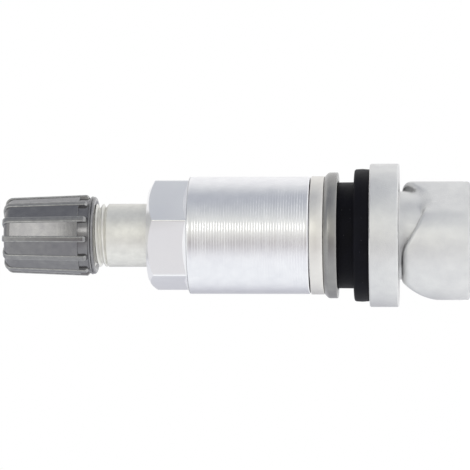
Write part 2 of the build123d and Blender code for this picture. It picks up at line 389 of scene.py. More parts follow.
@dataclass
class SoftRoot:
    """The soft end of the root between the casting's neck and its boss.

    Attributes:
        side: how far beside the axis the root starts to be soft, in millimetres.
        front: how far towards the lens it starts to be soft.
        fade: the length over which it turns from sharp to soft.
        base: the least height of the soft root.
        top: its greatest height.
        least_angle: the least angle between the faces that meet in the root, in degrees.
        samples: the steps in which each edge of the root is followed.
        reach: how far from the root the surface is smoothed.
        margin: how far from the root the mesh is made finer.
        longest: the longest edge left there.
        halvings: how often long edges are halved.
        passes: how often the surface is smoothed.
        strength: how fast the smoothing grows towards the root.
        step: how far a point moves towards its neighbours in each pass.
    """

    side: float = 2.4
    front: float = 0.9
    fade: float = 0.9
    base: float = 4.0
    top: float = 7.9
    least_angle: float = 20.0
    samples: int = 8
    reach: float = 1.1
    margin: float = 1.3
    longest: float = 0.3
    halvings: int = 6
    passes: int = 26
    strength: float = 1.6
    step: float = 0.5

    def share(self, place: Vector) -> float:
        """Tell how soft the root is at a place.

        Args:
            place: the place, in millimetres.

        Returns:
            0 for sharp, up to 1 for soft.
        """
        if not self.base < place.z < self.top:
            return 0.0
        inside = min(place.x - self.side, -place.y - self.front)
        return min(max(inside / self.fade, 0.0), 1.0)

    def follow(self, body: bmesh.types.BMesh) -> KDTree:
        """Find the soft part of the root.

        Args:
            body: the casting's mesh, in millimetres.

        Returns:
            The points along the root, ready to be searched.
        """
        limit = math.radians(self.least_angle)
        points = []
        for edge in body.edges:
            if len(edge.link_faces) != 2 or edge.is_convex or edge.calc_face_angle(0.0) < limit:
                continue
            start, end = (vert.co for vert in edge.verts)
            if self.share((start + end) / 2) > 0:
                points += [start.lerp(end, step / self.samples) for step in range(self.samples + 1)]
        tree = KDTree(len(points))
        for number, point in enumerate(points):
            tree.insert(point, number)
        tree.balance()
        return tree

    def refine(self, body: bmesh.types.BMesh, root: KDTree) -> None:
        """Make the mesh fine near the root.

        Args:
            body: the casting's mesh.
            root: the points along the root.
        """
        for _ in range(self.halvings):
            close = []
            for edge in body.edges:
                start, end = (vert.co for vert in edge.verts)
                places = [start.lerp(end, quarter / 4) for quarter in range(5)]
                distance = min(root.find(place)[2] for place in places)
                if edge.calc_length() > self.longest and distance < self.margin:
                    close.append(edge)
            bmesh.ops.subdivide_edges(body, edges=close, cuts=1)
            bmesh.ops.triangulate(body, faces=[face for face in body.faces if len(face.verts) > 3])

    def fill(self, body: bmesh.types.BMesh) -> None:
        """Smooth the surface on both sides of the root, most where it is softest.

        Args:
            body: the casting's mesh.
        """
        body.normal_update()
        root = self.follow(body)
        bmesh.ops.triangulate(body, faces=body.faces)
        self.refine(body, root)
        shares = {}
        for vert in body.verts:
            nearness = 1 - (root.find(vert.co)[2] / self.reach) ** 2
            share = self.share(vert.co) * min(nearness * self.strength, 1.0)
            if share > 0:
                shares[vert] = share
        for _ in range(self.passes):
            moved = {}
            for vert, share in shares.items():
                around = [edge.other_vert(vert).co for edge in vert.link_edges]
                moved[vert] = vert.co.lerp(sum(around, Vector()) / len(around), self.step * share)
            for vert, place in moved.items():
                vert.co = place
        bmesh.ops.recalc_face_normals(body, faces=body.faces)


# Finishes


class Graph:
    """A node tree with short ways to add and join nodes."""

    def __init__(self, tree: bpy.types.NodeTree) -> None:
        """Keep the tree.

        Args:
            tree: the tree to fill.
        """
        self.tree = tree

    def join(self, source: object, target: bpy.types.NodeSocket) -> None:
        """Feed a socket.

        Args:
            source: another socket, or a plain number or colour.
            target: the socket to feed.
        """
        if isinstance(source, bpy.types.NodeSocket):
            self.tree.links.new(source, target)
        else:
            target.default_value = source

    def node(
        self, kind: str, feeds: dict[str | int, object] | None = None, **settings: object
    ) -> bpy.types.Node:
        """Add a node.

        Args:
            kind: the node's type name.
            feeds: what feeds its inputs, by name or number.
            settings: its properties.

        Returns:
            The new node.
        """
        made = self.tree.nodes.new(kind)
        for name, value in settings.items():
            setattr(made, name, value)
        for name, value in (feeds or {}).items():
            self.join(value, made.inputs[name])
        return made

    def math(self, operation: str, *values: object) -> bpy.types.NodeSocket:
        """Add a Math node.

        Args:
            operation: the operation's name.
            values: the numbers or sockets that it takes.

        Returns:
            The node's output.
        """
        return self.node("ShaderNodeMath", dict(enumerate(values)), operation=operation).outputs[0]

    def blend(self, share: object, first: object, second: object) -> bpy.types.NodeSocket:
        """Blend two colours.

        Args:
            share: a number or a socket, 0 for the first colour and 1 for the second.
            first: a colour or a socket.
            second: a colour or a socket.

        Returns:
            The blended colour.
        """
        feeds = {0: share, 6: first, 7: second}
        return self.node("ShaderNodeMix", feeds, data_type="RGBA").outputs[2]

    def spread(self, value: bpy.types.NodeSocket, low: float, high: float) -> bpy.types.NodeSocket:
        """Map a value from 0 to 1 onto a range.

        Args:
            value: the value.
            low: what 0 becomes.
            high: what 1 becomes.

        Returns:
            The mapped value.
        """
        return self.node("ShaderNodeMapRange", {"Value": value, "To Min": low, "To Max": high}).outputs[0]

    def noise(
        self, vector: object, scale: object, detail: float, roughness: float = 0.5
    ) -> bpy.types.NodeSocket:
        """Add a noise.

        Args:
            vector: the place.
            scale: the noise's scale.
            detail: its finer layers.
            roughness: their strength.

        Returns:
            The noise's value.
        """
        feeds = {"Vector": vector, "Scale": scale, "Detail": detail, "Roughness": roughness}
        return self.node("ShaderNodeTexNoise", feeds).outputs[0]


class SurfaceGroup:
    """A shader node group while it is built."""

    def __init__(self, name: str, numbers: dict[str, float], outputs: tuple[str, ...]) -> None:
        """Make an empty group whose first input is a place.

        Args:
            name: the group's name.
            numbers: the default of each other input, by name.
            outputs: the names of its outputs.
        """
        self.tree = bpy.data.node_groups.new(name, "ShaderNodeTree")
        self.tree.interface.new_socket(name="Vector", in_out="INPUT", socket_type="NodeSocketVector")
        for label, default in numbers.items():
            socket = self.tree.interface.new_socket(name=label, in_out="INPUT", socket_type="NodeSocketFloat")
            socket.default_value = default
        for label in outputs:
            self.tree.interface.new_socket(name=label, in_out="OUTPUT", socket_type="NodeSocketFloat")
        self.graph = Graph(self.tree)
        self.given = self.graph.node("NodeGroupInput").outputs
        self.made = self.graph.node("NodeGroupOutput").inputs


class SurfaceEffects:
    """The shader node groups that several finishes share."""

    def __init__(self) -> None:
        """Build each group once."""
        self.grain = self.build_grain()
        self.tool_marks = self.build_tool_marks()
        self.specks = self.build_specks()
        self.rubbed_lit_edges = self.build_rubbed_lit_edges()

    def build_grain(self) -> bpy.types.NodeTree:
        """Build the grain of a blasted, moulded or rubbed surface: a fine height and a broad mottle."""
        group = SurfaceGroup("surface_grain", {"Fine": 9.0, "Broad": 0.7}, ("Height", "Mottle"))
        place = group.given["Vector"]
        fine = group.graph.noise(place, group.given["Fine"], detail=3.0, roughness=0.6)
        broad = group.graph.noise(place, group.given["Broad"], detail=4.0, roughness=0.55)
        group.graph.join(fine, group.made["Height"])
        group.graph.join(broad, group.made["Mottle"])
        return group.tree

    def build_tool_marks(self) -> bpy.types.NodeTree:
        """Build the marks of a lathe tool: fine lines round the axis, with a slow change along each line."""
        group = SurfaceGroup("tool_marks", {"Across": 14.0, "Round": 0.25}, ("Height", "Streak"))
        graph = group.graph
        parts = graph.node("ShaderNodeSeparateXYZ", {0: group.given["Vector"]}).outputs
        scales = [group.given[label] for label in ("Round", "Round", "Across")]
        axes = {axis: graph.math("MULTIPLY", parts[axis], scale) for axis, scale in enumerate(scales)}
        stretched = graph.node("ShaderNodeCombineXYZ", axes).outputs[0]
        lines = graph.noise(stretched, scale=1.0, detail=4.0, roughness=0.7)
        slow = graph.noise(stretched, scale=0.22, detail=2.0)
        graph.join(lines, group.made["Height"])
        graph.join(slow, group.made["Streak"])
        return group.tree

    def build_specks(self) -> bpy.types.NodeTree:
        """Build sparse specks, such as dust on rubber."""
        group = SurfaceGroup("sparse_specks", {"Scale": 3.0, "Size": 0.12, "Share": 0.3}, ("Mask",))
        graph = group.graph
        feeds = {label: group.given[label] for label in ("Vector", "Scale")}
        cells = graph.node("ShaderNodeTexVoronoi", feeds).outputs
        near = graph.math("LESS_THAN", cells["Distance"], group.given["Size"])
        shade = graph.node("ShaderNodeSeparateColor", {0: cells["Color"]}).outputs[0]
        chosen = graph.math("LESS_THAN", shade, group.given["Share"])
        graph.join(graph.math("MULTIPLY", near, chosen), group.made["Mask"])
        return group.tree

    def build_rubbed_lit_edges(self) -> bpy.types.NodeTree:
        """Build the mask of rubbed edges, broken up by a noise: the lighter colour that it brings in is
        partly real rubbing and partly a painted highlight along the edges.
        """
        group = SurfaceGroup("rubbed_lit_edges", {"Scale": 2.0, "Amount": 1.0}, ("Mask",))
        graph = group.graph
        pointed = graph.node("ShaderNodeNewGeometry").outputs["Pointiness"]
        feeds = {"Value": pointed, "From Min": 0.51, "From Max": 0.6}
        raised = graph.node("ShaderNodeMapRange", feeds).outputs[0]
        broken = graph.noise(group.given["Vector"], group.given["Scale"], detail=3.0)
        worn_highlit = graph.math("MULTIPLY", raised, broken)
        graph.join(graph.math("MULTIPLY", worn_highlit, group.given["Amount"]), group.made["Mask"])
        return group.tree


# What the mottle's 0 and 1 become before it blends two colours, and how fast a mark changes along itself.
MOTTLE_SPREAD = (-0.6, 1.6)
MARK_CHANGE = 0.2


@dataclass(frozen=True)
class Finish:
    """What a surface is made of and how it is worked.

    Attributes:
        name: the material's name.
        slot: the record's material slot.
        colour: the main colour, linear.
        shade: the colour that the mottle brings in.
        worn_highlit: the colour of rubbed edges, partly real rubbing and partly a painted highlight along
            them.
        metallic: 1 for bare metal.
        roughness: the lowest and highest roughness.
        lay: which way the tool's marks run.
        mark_pitch: the tool's marks per millimetre.
        mark_depth: the depth of the marks, in micrometres.
        grain_scale: the grains per millimetre.
        grain_depth: the depth of the grain, in micrometres.
        broad_scale: the patches per millimetre.
        rub_and_highlight: how far the edges are rubbed and carry that painted highlight.
        speck_share: the share of cells that hold a speck.
        speck_colour: the specks' colour.
        specular: the strength of the gloss on what is not metal, 0.5 for common plastic.
    """

    name: str
    slot: Slot
    colour: tuple[float, float, float]
    shade: tuple[float, float, float]
    worn_highlit: tuple[float, float, float]
    metallic: float = 1.0
    roughness: tuple[float, float] = (0.3, 0.4)
    lay: Lay = Lay.NONE
    mark_pitch: float = 14.0
    mark_depth: float = 0.0
    grain_scale: float = 9.0
    grain_depth: float = 2.0
    broad_scale: float = 0.7
    rub_and_highlight: float = 0.6
    speck_share: float = 0.0
    speck_colour: tuple[float, float, float] = (0.5, 0.5, 0.5)
    specular: float = 0.5

    def dress(self, effects: SurfaceEffects) -> bpy.types.Material:
        """Build the material.

        Args:
            effects: the shared node groups.

        Returns:
            The material.
        """
        material = bpy.data.materials.new(self.name)
        material.use_nodes = True
        graph = Graph(material.node_tree)
        shader = material.node_tree.nodes["Principled BSDF"].inputs
        shader["Metallic"].default_value = self.metallic
        shader["Specular IOR Level"].default_value = self.specular
        place = graph.node("ShaderNodeTexCoord").outputs["Object"]
        scale = Vector((1, 1, 1)) / MM
        vector = graph.node("ShaderNodeMapping", {"Vector": place, "Scale": scale}).outputs[0]
        feeds = {"Vector": vector, "Fine": self.grain_scale, "Broad": self.broad_scale}
        grain = graph.node("ShaderNodeGroup", feeds, node_tree=effects.grain).outputs
        mottle = graph.spread(grain["Mottle"], *MOTTLE_SPREAD)
        colour = graph.blend(mottle, self.colour + (1.0,), self.shade + (1.0,))
        height = graph.math("MULTIPLY", grain["Height"], self.grain_depth)
        rough = grain["Mottle"]
        if self.lay is Lay.ROUND:
            feeds = {"Vector": vector, "Across": self.mark_pitch, "Round": MARK_CHANGE}
            marks = graph.node("ShaderNodeGroup", feeds, node_tree=effects.tool_marks).outputs
            height = graph.math("MULTIPLY_ADD", marks["Height"], self.mark_depth, height)
            rough = marks["Streak"]
        if self.speck_share > 0:
            feeds = {"Vector": vector, "Share": self.speck_share}
            specks = graph.node("ShaderNodeGroup", feeds, node_tree=effects.specks).outputs
            colour = graph.blend(specks["Mask"], colour, self.speck_colour + (1.0,))
        # Lighter rubbed edges: partly real rubbing and partly a painted highlight along the edges.
        feeds = {"Vector": vector, "Amount": self.rub_and_highlight}
        edges = graph.node("ShaderNodeGroup", feeds, node_tree=effects.rubbed_lit_edges).outputs
        colour = graph.blend(edges["Mask"], colour, self.worn_highlit + (1.0,))
        graph.join(colour, shader["Base Color"])
        graph.join(graph.spread(rough, *self.roughness), shader["Roughness"])
        feeds = {"Strength": 1.0, "Distance": MICROMETRE, "Height": height}
        graph.join(graph.node("ShaderNodeBump", feeds).outputs[0], shader["Normal"])
        return material


CASTING = Finish(
    name="bead_blasted_casting",
    slot=Slot.CASTING,
    colour=(0.75, 0.75, 0.745),
    shade=(0.67, 0.67, 0.675),
    worn_highlit=(0.92, 0.92, 0.90),
    roughness=(0.34, 0.44),
    grain_scale=6.0,
    grain_depth=22.0,
    broad_scale=0.6,
)
SHANK = Finish(
    name="machined_shank",
    slot=Slot.CASTING,
    colour=(0.88, 0.87, 0.83),
    shade=(0.74, 0.73, 0.70),
    worn_highlit=(0.96, 0.95, 0.92),
    roughness=(0.44, 0.56),
    lay=Lay.ROUND,
    mark_pitch=6.0,
    mark_depth=9.0,
    grain_scale=3.0,
    grain_depth=6.0,
    broad_scale=0.9,
)
TURNED = Finish(
    name="turned_nut",
    slot=Slot.TURNED,
    colour=(0.91, 0.91, 0.93),
    shade=(0.84, 0.84, 0.87),
    worn_highlit=(0.98, 0.98, 0.98),
    roughness=(0.20, 0.27),
    lay=Lay.ROUND,
    mark_pitch=18.0,
    mark_depth=0.4,
    grain_depth=1.0,
)
HEXAGON = Finish(
    name="satin_hexagon",
    slot=Slot.TURNED,
    colour=(0.97, 0.97, 0.98),
    shade=(0.93, 0.93, 0.95),
    worn_highlit=(0.98, 0.98, 0.98),
    roughness=(0.26, 0.34),
    grain_scale=5.0,
    grain_depth=2.0,
    broad_scale=0.4,
)
RUBBED = Finish(
    name="rubbed_aluminium",
    slot=Slot.TURNED,
    colour=(0.98, 0.98, 0.98),
    shade=(0.94, 0.94, 0.95),
    worn_highlit=(0.99, 0.99, 0.99),
    roughness=(0.16, 0.24),
    grain_scale=6.0,
    grain_depth=2.0,
    broad_scale=2.0,
)
SATIN = Finish(
    name="satin_ring",
    slot=Slot.SATIN,
    colour=(0.83, 0.81, 0.775),
    shade=(0.76, 0.74, 0.71),
    worn_highlit=(0.98, 0.96, 0.93),
    roughness=(0.32, 0.42),
    lay=Lay.ROUND,
    mark_pitch=12.0,
    mark_depth=6.0,
)
STEEL = Finish(
    name="steel_washer",
    slot=Slot.STEEL,
    colour=(0.35, 0.345, 0.335),
    shade=(0.28, 0.275, 0.275),
    worn_highlit=(0.70, 0.68, 0.64),
    roughness=(0.22, 0.34),
    lay=Lay.ROUND,
    mark_pitch=10.0,
    mark_depth=6.0,
)
RUBBER = Finish(
    name="moulded_rubber",
    slot=Slot.RUBBER,
    colour=(0.002, 0.002, 0.004),
    shade=(0.004, 0.004, 0.008),
    worn_highlit=(0.04, 0.04, 0.045),
    metallic=0.0,
    specular=0.1,
    roughness=(0.40, 0.60),
    grain_scale=5.0,
    grain_depth=14.0,
    rub_and_highlight=0.6,
    speck_share=0.14,
    speck_colour=(0.07, 0.07, 0.08),
)
PLASTIC = Finish(
    name="moulded_cap",
    slot=Slot.PLASTIC,
    colour=(0.25, 0.247, 0.252),
    shade=(0.19, 0.187, 0.20),
    worn_highlit=(0.60, 0.60, 0.58),
    metallic=0.9,
    roughness=(0.12, 0.20),
    lay=Lay.ROUND,
    mark_pitch=1.5,
    mark_depth=5.0,
    grain_scale=4.0,
    grain_depth=3.0,
    broad_scale=1.1,
    rub_and_highlight=1.0,
)
# The cap's rounded rib edges: lighter than the cap, partly rubbed plastic and partly a painted highlight.
RUBBED_HIGHLIT_CAP = Finish(
    name="rubbed_highlit_cap",
    slot=Slot.PLASTIC,
    colour=(0.38, 0.38, 0.375),
    shade=(0.22, 0.22, 0.23),
    worn_highlit=(0.60, 0.60, 0.58),
    metallic=0.9,
    roughness=(0.14, 0.30),
    grain_scale=7.0,
    grain_depth=7.0,
    broad_scale=2.6,
    rub_and_highlight=1.0,
)
BRASS = Finish(
    name="core_brass",
    slot=Slot.BRASS,
    colour=(0.62, 0.44, 0.20),
    shade=(0.50, 0.35, 0.16),
    worn_highlit=(0.80, 0.62, 0.34),
    roughness=(0.26, 0.38),
    lay=Lay.ROUND,
    mark_pitch=14.0,
    mark_depth=4.0,
)
SPRING = Finish(
    name="core_steel",
    slot=Slot.SPRING,
    colour=(0.52, 0.52, 0.52),
    shade=(0.44, 0.44, 0.45),
    worn_highlit=(0.75, 0.75, 0.74),
    roughness=(0.24, 0.34),
    lay=Lay.ROUND,
    mark_pitch=10.0,
    mark_depth=3.0,
)


class Wardrobe:
    """Each finish's material, built once."""

    def __init__(self) -> None:
        """Build the shared groups and an empty rail."""
        self.effects = SurfaceEffects()
        self.rail: dict[str, bpy.types.Material] = {}

    def __getitem__(self, finish: Finish) -> bpy.types.Material:
        """Give a finish's material."""
        if finish.name not in self.rail:
            self.rail[finish.name] = finish.dress(self.effects)
        return self.rail[finish.name]


def dress_node(node: bpy.types.Object, material: bpy.types.Material) -> None:
    """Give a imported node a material.

    Args:
        node: the node.
        material: its new material.
    """
    node.data.materials.clear()
    node.data.materials.append(material)


def finish_piece(
    mesh: bmesh.types.BMesh,
    name: str,
    body: Body,
    wardrobe: Wardrobe,
    finishes: tuple[Finish, ...],
    sharp_angle: float = 34.0,
) -> bpy.types.Object:
    """Make an object of a mesh in millimetres, dress it and let it ride on its body.

    Args:
        mesh: the mesh, which is freed.
        name: the piece's name.
        body: the body that carries it.
        wardrobe: the materials.
        finishes: its finishes, the main one first, by the number that its faces hold.
        sharp_angle: the angle in degrees from which an edge stays sharp.

    Returns:
        The new object, at the origin, its mesh in metres.
    """
    mark_sharp(mesh, sharp_angle)
    bmesh.ops.scale(mesh, vec=(MM, MM, MM), verts=mesh.verts)
    data = bpy.data.meshes.new(name)
    mesh.to_mesh(data)
    mesh.free()
    for finish in finishes:
        data.materials.append(wardrobe[finish])
    piece = bpy.data.objects.new(name, data)
    bpy.context.scene.collection.objects.link(piece)
    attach(piece, body.value)
    finishes[0].slot.value
    return piece


# Sub-assemblies


@dataclass
class CastStem:
    """The casting: boss, neck, flange, shank and the two screw threads.

    Attributes:
        nodes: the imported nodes.
        wardrobe: the materials.
        clamp_major: the radius of the clamp thread's crest, in millimetres.
        clamp_root: the radius of its core.
        clamp_pitch: its pitch.
        valve_major: the radius of the valve thread's crest.
        valve_root: the radius of its core.
        valve_pitch: its pitch, 32 turns to the inch.
        valve_length: the length of the valve thread down from the mouth.
        clamp_base: the height at which the clamp thread starts.
        clamp_top: the height at which it ends.
        clamp_ramp: the length over which the core falls in at both ends of the clamp thread.
        clamp_outside: only what stands further out than this is drawn in to that core.
        clamp_lead: how far below the clamp thread its ridge starts.
        valve_ramp: the length over which the core falls in at the foot of the valve thread.
        valve_lead: how far below the valve thread its ridge starts.
        turned_lead: how far below the clamp thread the machined surface starts.
        turned_radius: the greatest radius of what is machined.
        sharp_angle: the angle in degrees from which an edge stays sharp.
    """

    nodes: dict[str, bpy.types.Object]
    wardrobe: Wardrobe
    clamp_major: float = 4.98
    clamp_root: float = 4.42
    clamp_pitch: float = 1.0
    valve_major: float = 3.83
    valve_root: float = 3.36
    valve_pitch: float = 25.4 / 32
    valve_length: float = 10.3
    clamp_base: float = 12.6
    clamp_top: float = 30.85
    clamp_ramp: float = 0.4
    clamp_outside: float = 4.9
    clamp_lead: float = 0.2
    valve_ramp: float = 0.35
    valve_lead: float = 0.49
    turned_lead: float = 0.5
    turned_radius: float = 5.1
    sharp_angle: float = 28.0

    def mouth(self) -> float:
        """Give the height of the mouth, in millimetres."""
        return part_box("valve_stem")[1].z / MM

    def build_body(self) -> None:
        """Build the casting from its solid, its threaded lengths brought in to the threads' cores."""
        body = solid_copy(self.nodes["valve_stem"])
        mouth = self.mouth()
        collar = mouth - self.valve_length
        low, high = self.clamp_base + self.clamp_ramp, self.clamp_top - self.clamp_ramp
        foot = collar + self.valve_ramp
        for height in (self.clamp_base, low, high, self.clamp_top, collar, foot):
            cut_at(body, height)
        draw_in(body, low - SLACK, high + SLACK, self.clamp_outside, self.clamp_root)
        draw_in(body, foot - SLACK, mouth + SLACK, self.valve_root, self.valve_root)
        bmesh.ops.recalc_face_normals(body, faces=body.faces)
        SoftRoot().fill(body)
        for face in body.faces:
            middle = face.calc_center_median()
            inside = math.hypot(middle.x, middle.y) < self.turned_radius
            face.material_index = int(inside and middle.z > self.clamp_base - self.turned_lead)
        finishes = (CASTING, SHANK)
        piece = finish_piece(body, "stem_casting", Body.STEM, self.wardrobe, finishes, self.sharp_angle)
        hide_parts("valve_stem")

    def build_threads(self) -> None:
        """Build the clamp thread and the valve thread."""
        mouth = self.mouth()
        clamp = ScrewThread(
            crest=self.clamp_major,
            root=self.clamp_root,
            pitch=self.clamp_pitch,
            base=self.clamp_base - self.clamp_lead,
            top=self.clamp_top,
        )
        valve = ScrewThread(
            crest=self.valve_major,
            root=self.valve_root,
            pitch=self.valve_pitch,
            base=mouth - self.valve_length - self.valve_lead,
            top=mouth,
        )
        for name, thread in (("clamp_thread", clamp), ("valve_thread", valve)):
            finish_piece(thread.build(), name, Body.STEM, self.wardrobe, (SHANK,))

    def build(self) -> None:
        """Build and dress every piece."""
        self.build_body()
        self.build_threads()


@dataclass
class SealStack:
    """The rubber grommet, the dished washer and the slip ring between the flange and the nut.

    Attributes:
        wardrobe: the materials.
        grommet_bore: the radius of the grommet's bore, in millimetres.
        nose_radius: the radius of its nose.
        nose_base: the height at which the nose starts.
        nose_draft: how much wider the nose is at its base.
        seat_drafts: how far the seat's edge lies inside its widest place, at its bottom and its top.
        seat_middle: the height of that place above the bottom.
        grommet_rounds: the radius of each rounded corner of the grommet's section, by its number.
        washer_bore: the radius of the washer's bore.
        dish_radius: the radius of the washer's dish.
        dish_depth: the depth of the dish.
        rim_height: the height of the washer's rim.
        crown_radius: the radius of its flat top.
        washer_rounds: the radius of each rounded corner of the washer's section.
        ring_bore: the radius of the slip ring's bore.
        recess_radius: the radius of the recess for the nut's lip.
        recess_height: the height of that recess.
        ring_round: the radius of the ring's outer edges.
    """

    wardrobe: Wardrobe
    grommet_bore: float = 5.05
    nose_radius: float = 6.42
    nose_base: float = 13.93
    nose_draft: float = 0.02
    seat_drafts: tuple[float, float] = (0.06, 0.05)
    seat_middle: float = 0.9
    grommet_rounds: dict[int, float] = field(default_factory=lambda: {1: 0.18, 3: 0.28, 4: 0.12, 5: 0.35})
    washer_bore: float = 5.1
    dish_radius: float = 6.62
    dish_depth: float = 0.3
    rim_height: float = 1.15
    crown_radius: float = 7.1
    washer_rounds: dict[int, float] = field(default_factory=lambda: {3: 0.12, 4: 0.2, 5: 0.1})
    ring_bore: float = 5.9
    recess_radius: float = 6.35
    recess_height: float = 0.85
    ring_round: float = 0.12

    def build_grommet(self) -> None:
        """Build the grommet: a wide seat and a nose, its edges soft."""
        low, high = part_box("grommet")
        seat = high.x / MM
        base_draft, top_draft = self.seat_drafts
        form = TurnedForm(
            corners=[
                (self.grommet_bore, low.z / MM),
                (seat - base_draft, low.z / MM),
                (seat, low.z / MM + self.seat_middle),
                (seat - top_draft, self.nose_base),
                (self.nose_radius + self.nose_draft, self.nose_base),
                (self.nose_radius, high.z / MM),
                (self.grommet_bore, high.z / MM),
            ],
            rounds=self.grommet_rounds,
            segments=5,
        )
        piece = finish_piece(form.build(), "rubber_grommet", Body.STEM, self.wardrobe, (RUBBER,))
        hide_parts("grommet")

    def build_washer(self) -> None:
        """Build the washer: a flat crown, a sloped shoulder, a rim and the dish under it."""
        low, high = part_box("clamp_washer")
        base = low.z / MM
        rim = high.x / MM
        form = TurnedForm(
            corners=[
                (self.washer_bore, base + self.dish_depth),
                (self.dish_radius, base + self.dish_depth),
                (self.dish_radius, base),
                (rim, base),
                (rim, base + self.rim_height),
                (self.crown_radius, high.z / MM),
                (self.washer_bore, high.z / MM),
            ],
            rounds=self.washer_rounds,
        )
        piece = finish_piece(form.build(), "dished_washer", Body.STEM, self.wardrobe, (STEEL,))
        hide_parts("clamp_washer")

    def build_ring(self) -> None:
        """Build the slip ring, with its recess for the nut's lip."""
        low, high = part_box("slip_ring")
        base = low.z / MM
        outer = high.x / MM
        form = TurnedForm(
            corners=[
                (self.recess_radius, base),
                (outer, base),
                (outer, high.z / MM),
                (self.ring_bore, high.z / MM),
                (self.ring_bore, base + self.recess_height),
                (self.recess_radius, base + self.recess_height),
            ],
            rounds={1: self.ring_round, 2: self.ring_round},
        )
        piece = finish_piece(form.build(), "slip_ring_satin", Body.RING, self.wardrobe, (SATIN,))
        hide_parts("slip_ring")

    def build(self) -> None:
        """Build and dress every piece."""
        self.build_grommet()
        self.build_washer()
        self.build_ring()


@dataclass
class ClampNut:
    """The clamp nut: a hexagon on a long sleeve with fine turned rings.

    Attributes:
        nodes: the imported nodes.
        wardrobe: the materials.
        sleeve_base: the height of the sleeve's lower end, in millimetres.
        sleeve_top: the height at which the hexagon starts.
        sleeve_radius: the sleeve's radius.
        bore: the radius of the threaded bore.
        overlap: how far the sleeve's bore runs up into the hexagon.
        seam: how far the hexagon's lower face lies above the sleeve's end.
        ring_pitch: the spacing of the turned rings.
        ring_depth: their depth.
        ring_margins: how far the rings stay off the sleeve's lower and upper end.
        ring_spread: the least and the greatest share of that depth.
        ring_shape: a ring's section, as shares of its pitch and its depth.
        seed: the seed of the rings' depths.
        edge: the radius of the sleeve's ends.
        hex_edge: the radius of the hexagon's edges.
        corner_length: the least length of an edge that counts as one of them.
        corner_angle: the least angle between that edge's faces, in degrees.
        corner_reach: the least radius of that edge, as a share of the sleeve's.
        cone_slope: faces that point down by more than this are the hexagon's cone.
        spigot_overlap: how far the spigot runs up into the sleeve.
        sharp_angle: the angle in degrees from which an edge stays sharp.
    """

    nodes: dict[str, bpy.types.Object]
    wardrobe: Wardrobe
    sleeve_base: float = 19.28
    sleeve_top: float = 33.87
    sleeve_radius: float = 7.13
    bore: float = 5.05
    overlap: float = 0.4
    seam: float = 0.004
    ring_pitch: float = 0.325
    ring_depth: float = 0.022
    ring_margins: tuple[float, float] = (0.45, 0.3)
    ring_spread: tuple[float, float] = (0.85, 1.15)
    ring_shape: tuple[tuple[float, float], ...] = ((0.0, 0.0), (0.25, 0.5), (0.5, 1.0), (0.75, 0.5))
    seed: int = 11
    edge: float = 0.14
    hex_edge: float = 0.13
    corner_length: float = 1.0
    corner_angle: float = 40.0
    corner_reach: float = 0.9
    cone_slope: float = 0.25
    spigot_overlap: float = 0.02
    sharp_angle: float = 24.0

    def ring_corners(self) -> list[tuple[float, float]]:
        """Give the corners of the turned rings, from the sleeve's lower end to its upper end."""
        chance = random.Random(self.seed)
        below, above = self.ring_margins
        first = self.sleeve_base + below
        count = int((self.sleeve_top - above - first) / self.ring_pitch)
        corners = []
        for number in range(count):
            start = first + number * self.ring_pitch
            depth = self.ring_depth * chance.uniform(*self.ring_spread)
            for share, fall in self.ring_shape:
                corners.append((self.sleeve_radius - depth * fall, start + self.ring_pitch * share))
        return corners

    def build_sleeve(self) -> bmesh.types.BMesh:
        """Build the sleeve as a ring with turned grooves."""
        rings = self.ring_corners()
        corners = [
            (self.bore, self.sleeve_base),
            (self.sleeve_radius, self.sleeve_base),
            *rings,
            (self.sleeve_radius, self.sleeve_top),
            (self.bore, self.sleeve_top + self.overlap),
        ]
        return TurnedForm(
            corners=corners,
            rounds={1: self.edge, len(rings) + 2: self.edge},
            steps=192,
        ).build()

    def build_hexagon(self) -> bmesh.types.BMesh:
        """Build the hexagon, with its cone and its chamfer, from the nut's solid."""
        hexagon = solid_copy(self.nodes["clamp_nut"])
        cut_at(hexagon, self.sleeve_top + self.seam, drop_below=True)
        bmesh.ops.dissolve_limit(
            hexagon,
            angle_limit=math.radians(1),
            use_dissolve_boundaries=False,
            verts=hexagon.verts,
            edges=hexagon.edges,
        )
        hexagon.normal_update()
        for face in hexagon.faces:
            face.material_index = 2 if face.normal.z < -self.cone_slope else 1
        least_angle = math.radians(self.corner_angle)
        least_reach = self.sleeve_radius * self.corner_reach
        corners = [
            edge
            for edge in hexagon.edges
            if edge.calc_length() > self.corner_length
            and edge.calc_face_angle(0.0) > least_angle
            and all(math.hypot(vert.co.x, vert.co.y) > least_reach for vert in edge.verts)
        ]
        LOG.info("rounding %d corners of the hexagon", len(corners))
        for face in bevel(hexagon, corners, self.hex_edge, segments=3):
            face.material_index = 2
        return hexagon

    def build(self) -> None:
        """Build and dress the nut."""
        nut = solid_copy(self.nodes["clamp_nut"])
        cut_at(nut, self.sleeve_base + self.spigot_overlap, drop_above=True)
        add_mesh(nut, self.build_sleeve())
        add_mesh(nut, self.build_hexagon())
        finishes = (TURNED, HEXAGON, RUBBED)
        piece = finish_piece(nut, "clamp_nut_turned", Body.NUT, self.wardrobe, finishes, self.sharp_angle)
        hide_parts("clamp_nut")


